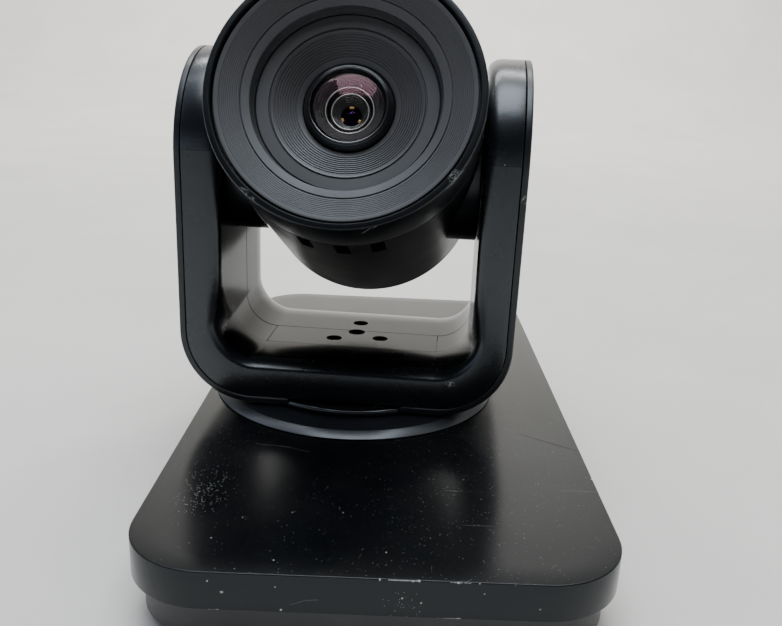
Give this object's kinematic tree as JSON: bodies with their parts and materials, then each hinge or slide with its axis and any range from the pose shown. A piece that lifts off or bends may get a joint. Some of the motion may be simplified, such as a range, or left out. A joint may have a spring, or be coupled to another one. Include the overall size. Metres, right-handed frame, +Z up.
{
  "type": "pan-tilt-zoom camera",
  "caption": "Conference camera: barrel head with a ribbed lens face, tilting in a U-shaped yoke that pans on a wide slab base with rear sockets and rubber feet.",
  "frame": {"origin": "on the floor, under the middle of the overall box at the rest pose", "axes": "+Z up; +X to the right and -Y towards someone the lens looks at; the base's long side lies along Y and its connectors are on the +X side"},
  "size_m": [0.1567, 0.286, 0.1977],
  "materials": {
    "coat": "fine powder coat, dark charcoal, dusty, chipped bright at the front edge",
    "satin": "satin painted black, smooth, small scuffs on edges",
    "plastic": "fine moulded matt black",
    "gloss": "gloss black",
    "rubber": "matt black",
    "steel": "plain plated",
    "brass": "machined",
    "board": "solder mask",
    "glass": "coated, mauve and violet reflections",
    "nylon": "moulded natural",
    "alloy": "as extruded"
  },
  "bodies": {
    "base": {"base_top_cover": "coat", "base_lower_shell": "plastic", "bottom_plate": "steel", "foot_1": "rubber", "foot_2": "rubber", "foot_3": "rubber", "foot_4": "rubber", "bottom_screw_1": "steel", "bottom_screw_2": "steel", "bottom_screw_3": "steel", "bottom_screw_4": "steel", "tripod_insert": "brass", "connector_panel": "plastic", "power_inlet": "gloss", "video_socket": "steel", "usb_socket": "steel", "network_socket": "steel", "main_board": "board", "heat_sink": "alloy", "remote_window": "gloss", "pan_ring": "coat", "pan_bearing": "steel", "pan_motor": "steel"},
    "pan_pinion": {"pan_pinion": "brass"},
    "yoke": {"pan_neck": "satin", "pan_gear": "nylon", "yoke_front_shell": "satin", "yoke_rear_shell": "satin", "yoke_floor_panel": "satin", "neck_screw_1": "steel", "neck_screw_2": "steel", "neck_screw_3": "steel", "left_side_cover": "satin", "right_side_cover": "satin", "left_arm_cap": "satin", "right_arm_cap": "satin", "right_tilt_bearing": "steel", "left_tilt_bearing": "steel", "drive_board": "board", "tilt_wheel": "nylon"},
    "head": {"head_barrel": "satin", "head_rear_cap": "satin", "front_rim": "satin", "ribbed_face": "plastic", "ribbed_well": "plastic", "lens_retaining_ring": "gloss", "front_element": "glass", "lens_housing": "plastic", "iris_ring": "gloss", "image_sensor": "gloss", "sensor_board": "board", "right_hub": "satin", "left_hub": "satin", "tilt_motor": "steel"},
    "tilt_pinion": {"tilt_pinion": "brass"},
    "zoom_group": {"zoom_carrier": "plastic", "zoom_element": "glass"},
    "focus_group": {"focus_carrier": "plastic", "focus_element": "glass"}
  },
  "joints": [
    {"name": "pan", "type": "hinge", "parent": "base", "child": "yoke", "pos_m": [-0.01015, 0.0029, 0.0275], "axis": [0, 0, 1], "range_deg": [-186, 14]},
    {"name": "pan_pinion_spin", "type": "hinge", "parent": "base", "child": "pan_pinion", "pos_m": [-0.02523, -0.03854, 0.0172], "axis": [0, 0, 1], "range_deg": [-60, 750]},
    {"name": "tilt", "type": "hinge", "parent": "yoke", "child": "head", "pos_m": [-0.01015, 0.0029, 0.1275], "axis": [0.9975, -0.0708, 0], "range_deg": [-4, 55]},
    {"name": "tilt_pinion_spin", "type": "hinge", "parent": "head", "child": "tilt_pinion", "pos_m": [-0.00877, 0.0224, 0.11809], "axis": [0.9975, -0.0708, 0], "range_deg": [-15, 170]},
    {"name": "zoom_slide", "type": "slide", "parent": "head", "child": "zoom_group", "axis": [0.0638, 0.8988, -0.4337], "range_m": [0, 0.014]},
    {"name": "focus_slide", "type": "slide", "parent": "head", "child": "focus_group", "axis": [0.0638, 0.8988, -0.4337], "range_m": [-0.003, 0.003]}
  ],
  "couplings": [
    {"joint": "pan_pinion_spin", "follows": "pan", "ratio": -4},
    {"joint": "tilt_pinion_spin", "follows": "tilt", "ratio": 3}
  ]
}
